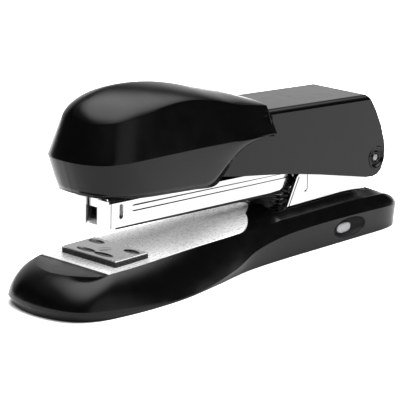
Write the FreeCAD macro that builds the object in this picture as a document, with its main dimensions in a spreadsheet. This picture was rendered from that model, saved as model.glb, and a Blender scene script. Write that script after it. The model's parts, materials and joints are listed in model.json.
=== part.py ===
import FreeCAD, Part
import Sketcher
import math, os

# Desktop stapler, +Z up, standing on its rubber sole at z = 0.
# Front (the mouth) is towards -X, the hinge is towards +X, origin at the middle of the footprint.
# All sizes in millimetres. "sx" is the distance from the drawing datum to the origin.

V = FreeCAD.Vector
doc = FreeCAD.newDocument("stapler")
dims = doc.addObject("Spreadsheet::Sheet", "dims")
_row = [0]

def cell(alias, value):
    _row[0] += 1
    c = "A%d" % _row[0]
    dims.set(c, "%.5f" % float(value))
    dims.setAlias(c, alias)

SIZES = dict(
    sx=8.0,
    pivot_x=57.0, pivot_z=25.5, tilt=2.25,
    sheet_thick=1.0, plate_half=15.9, plate_tongue_x=7.0,
    anvil_x=-57.2, anvil_long=24.6, anvil_deep=14.1, anvil_thick=2.15, anvil_bottom=12.25,
    anvil_bore=4.1, stud_dia=4.0,
    mag_half=7.2, mag_wall=0.8, mag_low=18.1, mag_high=26.6, mag_front=-62.7,
    rail_half=5.2, rail_top=24.2, rod_dia=2.0, rod_z=21.6,
    bracket_half=9.5, bracket_wall=1.0, bracket_floor=12.6,
    channel_half=13.2, channel_wall=1.2,
    pin_dia=4.0, pin_bore=4.1, pin_len=26.4,
    blade_thick=0.6, blade_wide=11.6,
    button_long=7.0, button_high=3.7, button_x=40.0, button_z=4.4,
    coil_wire=0.9, coil_radius=2.9,
    sole_thick=1.6,
)
for k, v in SIZES.items():
    cell(k, v)
doc.recompute()

def S(alias):
    return float(dims.get(alias))

SX = S("sx")
PX, PZ, TILT = S("pivot_x") + SX, S("pivot_z"), S("tilt")

# ---------------------------------------------------------------- helpers
def plane(body, role):
    return [o for o in body.Origin.OriginFeatures if o.Role == role][0]

def body(name):
    b = doc.addObject("PartDesign::Body", name)
    b.Label = name
    return b

_sk = [0]
def sketch(b, role, pts, tag, off=0.0, drive=None):
    """Closed polygon sketch; every corner is held by a pair of distances from the origin that read the sheet."""
    _sk[0] += 1
    sk = b.newObject("Sketcher::SketchObject", "%s_%s" % (b.Name, tag))
    sk.AttachmentSupport = [(plane(b, role), "")]
    sk.MapMode = "FlatFace"
    if off:
        sk.AttachmentOffset = FreeCAD.Placement(V(0, 0, off), FreeCAD.Rotation())
    n = len(pts)
    for i in range(n):
        a, c = pts[i], pts[(i + 1) % n]
        sk.addGeometry(Part.LineSegment(V(a[0], a[1], 0), V(c[0], c[1], 0)), False)
    for i in range(n):
        sk.addConstraint(Sketcher.Constraint("Coincident", i, 2, (i + 1) % n, 1))
    for i in range(n):
        for j, kind in ((0, "DistanceX"), (1, "DistanceY")):
            k = sk.addConstraint(Sketcher.Constraint(kind, -1, 1, i, 1, float(pts[i][j])))
            expr = (drive or {}).get((i, j))
            if expr is None:
                al = "q%d_%s%d" % (_sk[0], "uv"[j], i)
                cell(al, pts[i][j])
                expr = "dims." + al
            sk.setExpression("Constraints[%d]" % k, expr)
    return sk

def circle_sketch(b, role, items, tag, off=0.0):
    sk = b.newObject("Sketcher::SketchObject", "%s_%s" % (b.Name, tag))
    sk.AttachmentSupport = [(plane(b, role), "")]
    sk.MapMode = "FlatFace"
    if off:
        sk.AttachmentOffset = FreeCAD.Placement(V(0, 0, off), FreeCAD.Rotation())
    for i, (u, v, expr, r) in enumerate(items):
        sk.addGeometry(Part.Circle(V(u, v, 0), V(0, 0, 1), r), False)
        sk.addConstraint(Sketcher.Constraint("DistanceX", -1, 1, i, 3, float(u)))
        sk.addConstraint(Sketcher.Constraint("DistanceY", -1, 1, i, 3, float(v)))
        k = sk.addConstraint(Sketcher.Constraint("Radius", i, float(r)))
        if expr:
            sk.setExpression("Constraints[%d]" % k, expr)
    return sk

def pad(b, sk, expr, tag, sym=True, rev=False):
    p = b.newObject("PartDesign::Pad", "%s_%s" % (b.Name, tag))
    p.Profile = sk
    p.SideType = "Symmetric" if sym else "One side"
    p.Reversed = rev
    p.setExpression("Length", expr)
    doc.recompute()
    return p

def pocket(b, sk, expr, tag, sym=True, rev=False):
    before = b.Shape.Volume
    p = b.newObject("PartDesign::Pocket", "%s_%s" % (b.Name, tag))
    p.Profile = sk
    p.Type = "Length"
    p.SideType = "Symmetric" if sym else "One side"
    p.Reversed = rev
    p.setExpression("Length", expr)
    doc.recompute()
    if not b.Shape.Volume < before - 1e-3:
        raise RuntimeError("pocket %s_%s cuts nothing" % (b.Name, tag))
    return p

def feature(name, shape, placement=None):
    f = doc.addObject("Part::Feature", name)
    f.Label = name
    f.Shape = shape
    if placement is not None:
        f.Placement = placement
    return f

def box(x0, x1, y0, y1, z0, z1):
    return Part.makeBox(x1 - x0, y1 - y0, z1 - z0, V(x0, y0, z0))

def cyl(r, h, p, d=(0, 0, 1)):
    return Part.makeCylinder(r, h, V(*p), V(*d))

def prism_xz(pts, y0, y1):
    w = Part.makePolygon([V(x, y0, z) for x, z in pts] + [V(pts[0][0], y0, pts[0][1])])
    return Part.Face(w).extrude(V(0, y1 - y0, 0))

def prism_xy(pts, z0, z1):
    w = Part.makePolygon([V(x, y, z0) for x, y in pts] + [V(pts[0][0], pts[0][1], z0)])
    return Part.Face(w).extrude(V(0, 0, z1 - z0))

def closed_spline(pts):
    c = Part.BSplineCurve()
    c.interpolate(Points=pts, PeriodicFlag=True)
    return Part.Wire([c.toShape()])

def sh(pts):
    """drawing datum -> origin"""
    return [(x + SX, z) for x, z in pts]

def tilted():
    """placement of everything in the magazine: nose up by the tilt about the pivot pin"""
    rot = FreeCAD.Rotation(V(0, 1, 0), S("tilt"))
    return FreeCAD.Placement(V(0, 0, 0), rot, V(PX, 0, PZ))

NODES = {}
def keep(name, obj):
    NODES[name] = obj
    return obj

# ---------------------------------------------------------------- base shell
# half plan of the base: (x, half width) at three heights, front to back
def half_plan(z):
    # the widest outline is a few millimetres above the table at the nose; the shoulder pulls in at the rim
    t = min(max(z / 13.0, 0.0), 1.0)
    front = -86.9 - 1.3 * math.sin(math.pi * min(t * 1.55, 1.0)) + 7.0 * max(0.0, (t - 0.35) / 0.65) ** 2
    rear = 70.87 + 1.6 * math.sin(math.pi * min(t * 1.25, 1.0)) - 3.0 * max(0.0, (t - 0.6) / 0.4) ** 2
    low = [(-84.6, 9.1), (-80.6, 15.0), (-73.0, 19.2), (-60.0, 21.3), (-46.0, 21.5), (-33.0, 20.0), (-18.0, 16.6), (0.0, 14.9), (30.0, 14.6), (56.0, 14.7), (66.5, 11.6), (69.8, 6.0)]
    rim = [(-78.2, 8.6), (-74.5, 12.6), (-69.5, 15.4), (-60.0, 16.2), (-46.0, 16.2), (-33.0, 15.8), (-18.0, 15.1), (0.0, 14.7), (30.0, 14.7), (56.0, 13.6), (63.5, 9.8), (66.6, 5.0)]
    k = max(0.0, (t - 0.25) / 0.75) ** 1.7
    pts = [(front, 0.0)]
    for (xl, yl), (xr, yr) in zip(low, rim):
        bulge = 0.35 * math.sin(math.pi * min(t * 1.6, 1.0))
        pts.append((xl + (xr - xl) * k, yl + (yr - yl) * k + bulge))
    pts.append((rear, 0.0))
    return pts

def plan_wire(z, inset=0.0):
    h = half_plan(z)
    out = []
    for i, (x, y) in enumerate(h):
        if inset:
            x = x * (1 - inset / 78.0) if abs(x) > 60 else x
            y = max(y - inset, 0.0) if 0 < i < len(h) - 1 else 0.0
        out.append((x + SX, y))
    full = [V(x, -y, z) for x, y in out] + [V(x, y, z) for x, y in reversed(out[1:-1])]
    return closed_spline(full)

stack = Part.makeLoft([plan_wire(z) for z in (0.0, 2.5, 5.0, 7.5, 10.0, 12.0, 13.0)], True, False)
top_up = Part.Face(plan_wire(13.0)).extrude(V(0, 0, 4.0))
# crowned deck: 13 at the rim, 16 along the middle behind the plate, flat at the nose
def crown_wire(x, edge, mid):
    pts = []
    for i in range(-6, 7):
        y = i * 4.0
        pts.append(V(x + SX, y, edge + (mid - edge) * max(0.0, 1 - (abs(y) / 15.0) ** 2)))
    c = Part.BSplineCurve()
    c.interpolate(pts)
    lo = [V(x + SX, 24, -2), V(x + SX, -24, -2)]
    return Part.Wire([c.toShape(), Part.makeLine(pts[-1], lo[0]), Part.makeLine(lo[0], lo[1]), Part.makeLine(lo[1], pts[0])])
crown = Part.makeLoft([crown_wire(-92, 12.2, 12.4), crown_wire(-70, 13.0, 13.0), crown_wire(-46, 13.0, 13.2), crown_wire(-18, 13.0, 15.2), crown_wire(6, 13.0, 15.9), crown_wire(40, 12.9, 15.0), crown_wire(54, 12.9, 14.4), crown_wire(66, 10.9, 11.6), crown_wire(76, 8.2, 8.6)], True, False)
outer = stack.fuse(top_up).common(crown)
# hollow underside, 2.2 mm walls, open at the bottom above the sole
inner = Part.makeLoft([plan_wire(z, 2.4) for z in (0.0, 3.0, 6.0, 9.3)], True, False)
cavity = inner.common(box(-100, 100, -40, 40, -1, 9.3))
# recess that takes the plate, and the trough that takes the hinge bracket
plate_plan = [(-70.2, 0), (-70.2, 9.0), (-69.4, 13.0), (-66.0, 15.4), (-58.0, 15.9), (-46.0, 15.9), (-10.6, 14.1), (-7.0, 12.9), (-3.7, 10.5), (-0.4, 6.1), (6.2, 2.0), (7.0, 0)]
def plan_poly(half, grow=0.0):
    up = [(x + SX + (grow if x > 0 else (-grow if x < -60 else 0)), y + grow if y > 0 else 0.0) for x, y in half]
    return up + [(x, -y) for x, y in reversed(up[1:-1])]
recess = prism_xy(plan_poly(plate_plan, 0.1), 11.15, 18.0)
trough = box(10.0 + SX, 60.5 + SX, -9.9, 9.9, 11.5, 18.0)
spring_well = box(-6 + SX, 10.0 + SX, -6.0, 6.0, 9.8, 18.0)
dish = Part.makeCylinder(1.0, 2.2, V(0, 0, 0), V(0, 1, 0))
mtx = FreeCAD.Matrix(); mtx.scale(7.3, 1.0, 3.4)
dish = dish.transformGeometry(mtx)
dish.translate(V(S("button_x") + SX, -15.6, S("button_z")))
def oval(long_, high, y0, y1, cx, cz):
    r = high / 2.0
    h = (long_ - high) / 2.0
    a = Part.makeLine(V(cx - h, y0, cz - r), V(cx + h, y0, cz - r))
    b_ = Part.Arc(V(cx + h, y0, cz - r), V(cx + h + r, y0, cz), V(cx + h, y0, cz + r)).toShape()
    c = Part.makeLine(V(cx + h, y0, cz + r), V(cx - h, y0, cz + r))
    d = Part.Arc(V(cx - h, y0, cz + r), V(cx - h - r, y0, cz), V(cx - h, y0, cz - r)).toShape()
    return Part.Face(Part.Wire([a, b_, c, d])).extrude(V(0, y1 - y0, 0))
bx, bz = S("button_x") + SX, S("button_z")
button_hole = oval(S("button_long") + 0.3, S("button_high") + 0.3, -16.0, -11.0, bx, bz)
shell = outer.cut(cavity).cut(recess).cut(trough).cut(dish).cut(button_hole)
# screw bosses hang from the deck; the anvil stud and the bracket screws pass through the deck
boss_xy = [(-30.0, 0.0), (20.0, 0.0), (50.0, 0.0)]
for x, y in boss_xy:
    shell = shell.fuse(cyl(3.4, 9.6, (x + SX, y, 1.9)))
    shell = shell.cut(cyl(1.55, 12.0, (x + SX, y, 1.0)))
shell = shell.fuse(box(bx - 4.2, bx + 4.2, -6.0, -4.9, 1.9, 6.0).fuse(box(bx - 4.2, bx - 3.2, -4.9, 8.0, 1.9, 6.0)).fuse(box(bx + 3.2, bx + 4.2, -4.9, 8.0, 1.9, 6.0)).fuse(box(bx - 4.2, bx + 4.2, 7.5, 13.5, 1.9, 6.0)))
shell = shell.cut(cyl(2.6, 6.0, (S("anvil_x") + SX, 0, 8.0)))
# clearance disc for the anvil to turn in
turning = cyl(14.4, 8.0, (S("anvil_x") + SX, 0, 12.2))
shell = shell.cut(turning)
keep("base_shell", feature("base_shell", shell.removeSplitter()))

# ---------------------------------------------------------------- rubber sole
sole_pts = plan_wire(0.0, 3.0)
sole = Part.Face(sole_pts).extrude(V(0, 0, S("sole_thick")))
sole = sole.common(cavity)
for x, y in boss_xy:
    sole = sole.cut(cyl(3.2, 4.0, (x + SX, y, -1.0)))
keep("rubber_sole", feature("rubber_sole", sole))

# ---------------------------------------------------------------- base plate (plated sheet with a crowned tongue)
def plate_wire(x, edge, mid):
    top, bot = [], []
    for i in range(-5, 6):
        y = i * 3.6
        z = edge + (mid - edge) * max(0.0, 1 - (abs(y) / 16.0) ** 2)
        top.append(V(x + SX, y, z)); bot.append(V(x + SX, y, z - 0.95))
    a = Part.BSplineCurve(); a.interpolate(top)
    c = Part.BSplineCurve(); c.interpolate(list(reversed(bot)))
    return Part.Wire([a.toShape(), Part.makeLine(top[-1], bot[-1]), c.toShape(), Part.makeLine(bot[0], top[0])])
slab = Part.makeLoft([plate_wire(-74, 12.2, 12.2), plate_wire(-60, 12.2, 12.2), plate_wire(-47, 12.2, 12.25), plate_wire(-20, 12.9, 14.4), plate_wire(9, 13.4, 16.2)], True, False)
plate = slab.common(prism_xy(plan_poly(plate_plan), 5, 25))
plate = plate.cut(cyl(2.02, 20, (S("anvil_x") + SX, 0, 5)))
plate = plate.cut(cyl(1.55, 20, (-30.0 + SX, 0, 5)))
plate = plate.cut(turning)
keep("base_plate", feature("base_plate", plate))

# ---------------------------------------------------------------- base screws (three, up through the bosses from below)
screws = []
for x, y in boss_xy:
    z0 = 1.9 - 1.2
    screws.append(cyl(2.9, 1.2, (x + SX, y, z0)).cut(cyl(1.0, 0.7, (x + SX, y, z0 - 0.1))).fuse(cyl(1.5, 9.2, (x + SX, y, 1.9))))
keep("base_screws", feature("base_screws", Part.makeCompound(screws)))

# ---------------------------------------------------------------- anvil and its stud
AX = S("anvil_x") + SX
b = body("anvil")
hl, hd = S("anvil_long") / 2.0, S("anvil_deep") / 2.0
sk = sketch(b, "XY_Plane", [(AX - hd, -hl), (AX + hd, -hl), (AX + hd, hl), (AX - hd, hl)], "outline", off=S("anvil_bottom"),
            drive={(0, 0): "dims.anvil_x + dims.sx - dims.anvil_deep/2", (1, 0): "dims.anvil_x + dims.sx + dims.anvil_deep/2",
                   (2, 0): "dims.anvil_x + dims.sx + dims.anvil_deep/2", (3, 0): "dims.anvil_x + dims.sx - dims.anvil_deep/2",
                   (0, 1): "-dims.anvil_long/2", (1, 1): "-dims.anvil_long/2", (2, 1): "dims.anvil_long/2", (3, 1): "dims.anvil_long/2"})
pad(b, sk, "dims.anvil_thick", "block", sym=False)
sk = circle_sketch(b, "XY_Plane", [(AX, 0, "dims.anvil_bore/2", S("anvil_bore") / 2)], "bore", off=S("anvil_bottom") + S("anvil_thick") + 0.1)
pocket(b, sk, "dims.anvil_thick + 1", "bore", sym=False)
top = S("anvil_bottom") + S("anvil_thick")
sk = sketch(b, "XY_Plane", [(AX - 5.2, -7.8), (AX - 3.6, -7.8), (AX - 3.6, 7.8), (AX - 5.2, 7.8)], "pin_groove", off=top + 0.05)
pocket(b, sk, "dims.anvil_thick*0.32", "pin_groove", sym=False)
for tag, yc in (("near", -8.2), ("far", 8.2)):
    sk = sketch(b, "XY_Plane", [(AX + 3.3, yc - 3.35), (AX + 4.9, yc - 3.35), (AX + 4.9, yc + 3.35), (AX + 3.3, yc + 3.35)], "tack_" + tag, off=top + 0.05)
    pocket(b, sk, "dims.anvil_thick*0.32", "tack_" + tag, sym=False)
keep("anvil", b)

b = body("anvil_stud")
zt = top
sk = circle_sketch(b, "XY_Plane", [(AX, 0, "dims.stud_dia/2", 2.0)], "shank", off=9.35)
pad(b, sk, "dims.anvil_thick + 3.0", "shank", sym=False)
sk = circle_sketch(b, "XY_Plane", [(AX, 0, None, 2.5)], "flange", off=9.4)
pad(b, sk, "0.65", "flange", sym=False)
keep("anvil_stud", b)
washer = cyl(2.55, 0.8, (AX, 0, 10.1)).cut(cyl(2.02, 2, (AX, 0, 9.5)))
keep("anvil_spring_washer", feature("anvil_spring_washer", washer))

# ---------------------------------------------------------------- hinge bracket
wall_profile = sh([(14.8, 12.6), (21.0, 24.7), (24.5, 27.4), (50.0, 30.0), (57.0, 30.2), (60.2, 28.8), (61.2, 25.5), (60.0, 22.4), (57.2, 19.6), (54.6, 12.6)])
b = body("hinge_bracket")
sk = sketch(b, "XZ_Plane", [(x, z) for x, z in wall_profile[:-1]] + [(wall_profile[-1][0], wall_profile[-1][1])], "side")
pad(b, sk, "dims.bracket_half*2", "side")
sk = sketch(b, "XZ_Plane", [(PX - 60, 12.7), (PX + 20, 12.7), (PX + 20, 40), (PX - 60, 40)], "inside", drive={(0, 1): "dims.bracket_floor", (1, 1): "dims.bracket_floor"})
pk = pocket(b, sk, "(dims.bracket_half - dims.bracket_wall)*2", "inside")
floor_sk = sketch(b, "XZ_Plane", [(13.4 + SX, 11.6), (54.6 + SX, 11.6), (54.6 + SX, 12.6), (13.4 + SX, 12.6)], "floor")
pad(b, floor_sk, "dims.bracket_half*2", "floor")
sk = circle_sketch(b, "XZ_Plane", [(PX, PZ, None, 2.0)], "pin_hole")
pocket(b, sk, "dims.bracket_half*2 + 2", "pin_hole")
sk = circle_sketch(b, "XY_Plane", [(x + SX, y, None, 1.55) for x, y in boss_xy[1:]], "screw_holes", off=13.5)
pocket(b, sk, "4", "screw_holes", sym=False)
keep("hinge_bracket", b)

# ---------------------------------------------------------------- main pin
pin = Part.makeCylinder(S("pin_dia") / 2, S("pin_len"), V(PX, -S("pin_len") / 2, PZ), V(0, 1, 0))
pf = doc.addObject("Part::Cylinder", "pivot_pin")
pf.Label = "pivot_pin"
pf.setExpression("Radius", "dims.pin_dia/2")
pf.setExpression("Height", "dims.pin_len")
pf.Placement = FreeCAD.Placement(V(PX, S("pin_len") / 2, PZ), FreeCAD.Rotation(V(1, 0, 0), 90))
keep("pivot_pin", pf)

# ---------------------------------------------------------------- coils
def coil(r, wire, turns, length, n=None):
    h = Part.makeHelix(length / turns, length, r)
    hw = Part.Wire(h.Edges)
    p0 = hw.Edges[0].valueAt(hw.Edges[0].FirstParameter)
    t0 = hw.Edges[0].tangentAt(hw.Edges[0].FirstParameter)
    prof = Part.Wire([Part.makeCircle(wire / 2.0, p0, t0)])
    s = hw.makePipeShell([prof], True, True)
    return s

c = coil(S("coil_radius"), S("coil_wire"), 4.5, 7.2)
keep("return_spring", feature("return_spring", c, FreeCAD.Placement(V(23.5 + SX, 0, 13.1), FreeCAD.Rotation())))

# torsion spring round the pin, between the magazine cheek and the bracket wall
# (its straight legs lie along the bracket wall and up inside the channel)

# ---------------------------------------------------------------- magazine group, drawn level and tilted about the pin
mh, mw, ml, mt, mf = S("mag_half"), S("mag_wall"), S("mag_low"), S("mag_high"), S("mag_front") + SX
b = body("magazine_channel")
side = [(mf + 0.6, ml), (15.0 + SX, ml), (18.0 + SX, 19.4), (20.5 + SX, 21.4), (53.0 + SX, 21.4), (PX + 2.8, 22.6), (PX + 3.8, 25.5), (PX + 2.8, 28.4), (PX - 1, 29.4), (24.0 + SX, 28.2), (16.0 + SX, mt), (mf + 0.6, mt)]
sk = sketch(b, "XZ_Plane", side, "side", drive={(0, 1): "dims.mag_low", (1, 1): "dims.mag_low", (10, 1): "dims.mag_high", (11, 1): "dims.mag_high"})
pad(b, sk, "dims.mag_half*2", "side")
sk = sketch(b, "XZ_Plane", [(mf - 5, ml + mw), (PX + 20, ml + mw), (PX + 20, mt + 15), (mf - 5, mt + 15)], "inside", drive={(0, 1): "dims.mag_low + dims.mag_wall", (1, 1): "dims.mag_low + dims.mag_wall"})
pocket(b, sk, "(dims.mag_half - dims.mag_wall)*2", "inside")
# staple exit in the floor at the mouth
sk = sketch(b, "XY_Plane", [(mf - 1, -6.4), (mf + 3.0, -6.4), (mf + 3.0, 6.4), (mf - 1, 6.4)], "exit", off=ml + mw + 0.5)
pocket(b, sk, "dims.mag_wall + 1", "exit", sym=False)
# two inward fingers close the mouth
for tag, s in (("near", -1), ("far", 1)):
    y0, y1 = sorted((s * 2.5, s * 7.2))
    sk = sketch(b, "YZ_Plane", [(y0, 17.9), (y0 + 1.2, 17.3), (y1 - 1.2, 17.3), (y1, 17.9), (y1, mt + 0.9), (y0, mt + 0.9)], "finger_" + tag, off=mf)
    pad(b, sk, "dims.mag_wall*0.75", "finger_" + tag, sym=False)
# obround window through both cheeks
sk = sketch(b, "XZ_Plane", [(SX - 57.7, 21.9), (SX - 57.3, 21.3), (SX - 56.5, 21.3), (SX - 56.1, 21.9), (SX - 56.1, 25.4), (SX - 56.5, 25.9), (SX - 57.3, 25.9), (SX - 57.7, 25.4)], "window")
pocket(b, sk, "dims.mag_half*2 + 1", "window")
sk = circle_sketch(b, "XZ_Plane", [(PX, PZ, "dims.pin_bore/2", 2.05)], "pin_hole")
pocket(b, sk, "dims.mag_half*2 + 1", "pin_hole")
sk = circle_sketch(b, "XZ_Plane", [(23.0 + SX, 23.6, None, 1.16), (28.5 + SX, 23.6, None, 1.16)], "rivet_holes")
pocket(b, sk, "dims.mag_half*2 + 1", "rivet_holes")
# long guide groove pressed into each cheek
for tag, sgn in (("near", -1), ("far", 1)):
    sk = sketch(b, "XZ_Plane", [(SX - 52.0, 23.1), (SX + 18.6, 23.1), (SX + 18.6, 24.5), (SX - 52.0, 24.5), (SX - 52.6, 23.8)], "groove_" + tag, off=-sgn * (mh + 0.05))
    pocket(b, sk, "0.4", "groove_" + tag, sym=False, rev=(sgn > 0))
b.Placement = tilted()
keep("magazine_channel", b)

b = body("staple_rail")
rh, rt = S("rail_half"), S("rail_top")
sk = sketch(b, "XZ_Plane", [(SX - 60.0, ml + mw), (SX + 12.0, ml + mw), (SX + 12.0, rt), (SX - 60.0, rt)], "side", drive={(0, 1): "dims.mag_low + dims.mag_wall", (1, 1): "dims.mag_low + dims.mag_wall", (2, 1): "dims.rail_top", (3, 1): "dims.rail_top"})
pad(b, sk, "dims.rail_half*2", "side")
sk = sketch(b, "XZ_Plane", [(SX - 58.6, ml), (SX + 13.0, ml), (SX + 13.0, rt - 0.7), (SX - 58.6, rt - 0.7)], "inside")
pocket(b, sk, "(dims.rail_half - 0.7)*2", "inside")
sk = sketch(b, "XY_Plane", [(SX - 57.0, -1.3), (SX + 10.0, -1.3), (SX + 10.0, 1.3), (SX - 57.0, 1.3)], "slot", off=rt + 0.5)
pocket(b, sk, "1.5", "slot", sym=False)
sk = circle_sketch(b, "YZ_Plane", [(0, S("rod_z"), None, 1.0)], "rod_seat", off=SX - 58.5)
pocket(b, sk, "0.9", "rod_seat", sym=False)
b.Placement = tilted()
keep("staple_rail", b)

rodf = doc.addObject("Part::Cylinder", "guide_rod")
rodf.Label = "guide_rod"
rodf.setExpression("Radius", "dims.rod_dia/2")
rodf.Height = 72.9
rod_local = FreeCAD.Placement(V(SX - 59.4, 0, S("rod_z")), FreeCAD.Rotation(V(0, 1, 0), 90))
rodf.Placement = tilted().multiply(rod_local)
keep("guide_rod", rodf)

heel = box(12.0 + SX, 30.0 + SX, -6.35, 6.35, 19.6, 25.6).cut(cyl(1.02, 3.0, (11.9 + SX, 0, S("rod_z")), (1, 0, 0)))
for x in (23.0, 28.5):
    heel = heel.cut(Part.makeCylinder(1.16, 1.5, V(x + SX, -6.4, 23.6), V(0, 1, 0))).cut(Part.makeCylinder(1.16, 1.5, V(x + SX, 4.9, 23.6), V(0, 1, 0)))
keep("magazine_heel", feature("magazine_heel", heel, tilted()))

# pusher straddles the rail, its lug runs on the rod
pz = rt + 0.15
push = box(SX - 59.6, SX - 50.0, -6.2, 6.2, pz, pz + 1.0)
push = push.fuse(box(SX - 59.6, SX - 50.0, -6.2, -5.4, 19.3, pz + 0.2)).fuse(box(SX - 59.6, SX - 50.0, 5.4, 6.2, 19.3, pz + 0.2))
push = push.fuse(box(SX - 55.6, SX - 52.6, -1.1, 1.1, 20.2, pz + 0.5))
push = push.cut(Part.makeCylinder(1.08, 8, V(SX - 58, 0, S("rod_z")), V(1, 0, 0)))
keep("pusher", feature("pusher", push.removeSplitter(), tilted()))
fs = coil(1.75, 0.5, 26, 62.4)
fs_local = FreeCAD.Placement(V(SX - 51.9, 0, S("rod_z")), FreeCAD.Rotation(V(0, 1, 0), 90))
keep("pusher_spring", feature("pusher_spring", fs, tilted().multiply(fs_local)))

# ---------------------------------------------------------------- handle: pressed channel
out_pts = sh([(-46.0, 37.6), (-30.0, 35.4), (-19.9, 33.3), (-10.2, 31.5), (1.5, 29.8), (13.5, 27.9), (28.3, 24.9), (46.6, 20.8), (51.8, 19.6), (54.9, 19.2), (57.5, 19.6), (59.4, 21.0), (60.8, 23.9), (61.3, 27.5), (60.8, 30.9), (59.1, 36.4), (56.3, 42.1), (54.1, 45.6), (52.2, 47.9), (3.6, 50.9), (-46.0, 54.0)])
b = body("handle_channel")
sk = sketch(b, "XZ_Plane", out_pts, "side")
pad(b, sk, "dims.channel_half*2", "side")
cw = S("channel_wall")
in_pts = sh([(-60.0, 20.0), (-60.0, 54.9 - cw), (3.6, 50.9 - cw), (51.6, 47.9 - cw), (53.0, 45.0), (55.1, 41.6), (57.75, 36.3), (58.8, 33.2), (63.5, 32.9), (64.5, 25.0), (62.0, 14.0)])
sk = sketch(b, "XZ_Plane", in_pts, "inside")
pocket(b, sk, "(dims.channel_half - dims.channel_wall)*2", "inside")
edges = []
for i, e in enumerate(b.Shape.Edges):
    c0, c1 = e.Vertexes[0].Point, e.Vertexes[-1].Point
    if abs(abs(c0.y) - S("channel_half")) < 1e-3 and abs(c0.y - c1.y) < 1e-3 and min(c0.z, c1.z) > 47.5 and e.Length > 30:
        edges.append("Edge%d" % (i + 1))
last = b.Tip
fl = b.newObject("PartDesign::Fillet", "top_bends")
fl.Base = (last, edges)
fl.Radius = 1.9
doc.recompute()
sk = circle_sketch(b, "XZ_Plane", [(PX, PZ, None, 4.0)], "eyelet_hole")
pocket(b, sk, "dims.channel_half*2 + 1", "eyelet_hole")
sk = circle_sketch(b, "XY_Plane", [(-33.0 + SX, 0, None, 1.25), (-8.0 + SX, 0, None, 1.25)], "cap_screw_holes", off=58.0)
pocket(b, sk, "12", "cap_screw_holes", sym=False)
# tongue that carries the driver blade
sk = sketch(b, "XZ_Plane", sh([(-61.0, 53.8), (-45.5, 52.8), (-45.5, 54.0), (-61.0, 55.0)]), "tongue")
pad(b, sk, "14", "tongue")
keep("handle_channel", b)

blade = box(SX - 61.6, SX - 61.0, -5.8, 5.8, 29.2, 55.0)
keep("driver_blade", feature("driver_blade", blade))
clamp = box(SX - 62.4, SX - 61.6, -6.4, 6.4, 47.0, 56.2).fuse(box(SX - 62.4, SX - 55.0, -6.4, 6.4, 55.2, 56.2))
clamp = clamp.cut(prism_xz(sh([(-61.6, 50.0), (-54.0, 50.0), (-54.0, 54.55), (-61.0, 55.01), (-61.6, 55.01)]), -8, 8))
keep("driver_clamp", feature("driver_clamp", clamp))

rivs = []
for x in (23.0, 28.5):
    for s_ in (-1, 1):
        r_ = Part.makeCylinder(1.15, 2.4, V(x + SX, s_ * 5.0, 23.6), V(0, s_, 0))
        hd_ = Part.makeCylinder(1.7, 0.35, V(x + SX, s_ * 7.2, 23.6), V(0, s_, 0))
        rivs.append(r_.fuse(hd_))
keep("magazine_rivets", feature("magazine_rivets", Part.makeCompound(rivs), tilted()))

# eyelets pressed into the channel cheeks, dished towards the pin
eye = []
for s in (-1, 1):
    e_ = Part.makeCylinder(4.0, 1.25, V(PX, s * 12.02, PZ), V(0, s, 0)).cut(Part.makeCylinder(2.05, 4, V(PX, s * 11, PZ), V(0, s, 0)))
    e_ = e_.cut(Part.makeCone(2.3, 3.5, 0.8, V(PX, s * 12.5, PZ), V(0, s, 0)))
    eye.append(e_)
keep("hinge_eyelets", feature("hinge_eyelets", Part.makeCompound(eye)))

# handle spring: wire coiled round the far spacer, one leg hooked on the bracket, one under the channel roof
hs = coil(4.3, 0.8, 1.9, 1.3)
hs.Placement = FreeCAD.Placement(V(PX, 11.3, PZ), FreeCAD.Rotation(V(1, 0, 0), 90))
leg1 = Part.makeCylinder(0.4, 26.0, V(PX - 1.0, 10.05, PZ + 4.3), V(-1, 0, 0.16))
leg2 = Part.makeCylinder(0.4, 13.5, V(PX - 4.3, 11.3, PZ + 0.2), V(-0.42, 0, 1))
keep("handle_spring", feature("handle_spring", hs.fuse(leg1).fuse(leg2)))

# dished bushes between channel and bracket, one each side of the pin
bush = []
for s in (-1, 1):
    y0 = s * 9.6
    bsh = Part.makeCylinder(3.6, 2.3, V(PX, y0, PZ), V(0, s, 0)).cut(Part.makeCylinder(2.05, 4, V(PX, y0 - s * 1, PZ), V(0, s, 0)))
    bush.append(bsh)
keep("pivot_spacers", feature("pivot_spacers", Part.makeCompound(bush)))
spac = [Part.makeCylinder(3.2, 1.2, V(PX, s * 7.25, PZ), V(0, s, 0)).cut(Part.makeCylinder(2.02, 4, V(PX, s * 6, PZ), V(0, s, 0))) for s in (-1, 1)]
keep("magazine_washers", feature("magazine_washers", Part.makeCompound(spac)))

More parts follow.
